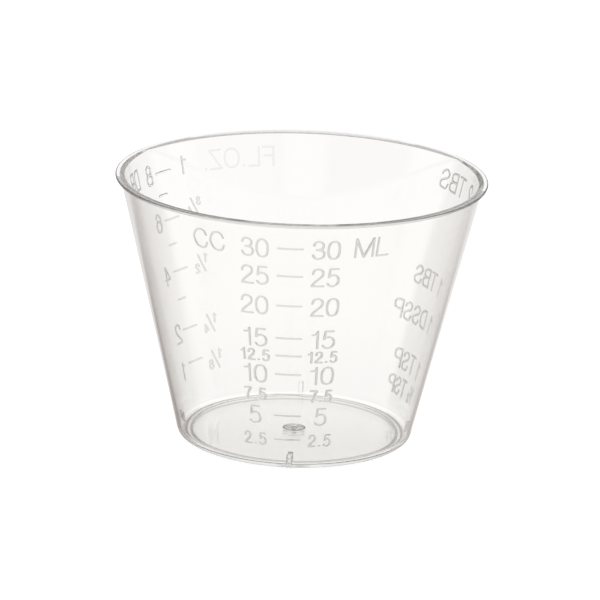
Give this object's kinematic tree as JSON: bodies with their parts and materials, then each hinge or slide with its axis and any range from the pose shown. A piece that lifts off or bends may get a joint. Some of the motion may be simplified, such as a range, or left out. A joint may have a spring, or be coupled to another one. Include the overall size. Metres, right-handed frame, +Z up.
{
  "type": "medicine cup",
  "caption": "Small clear tapered dosing cup with an outward lip, raised volume scales on the wall and inner stacking ribs at the base.",
  "frame": {"origin": "centre of the foot ring, on the surface that the cup stands on", "axes": "+Z up along the cup's axis, -Y towards the millilitre scale"},
  "size_m": [0.0463, 0.0462, 0.0335],
  "materials": {
    "clear_polypropylene": "clear moulded polypropylene, polished, with a faint warm grey haze"
  },
  "bodies": {
    "root": {"cup": "clear_polypropylene"}
  },
  "joints": []
}
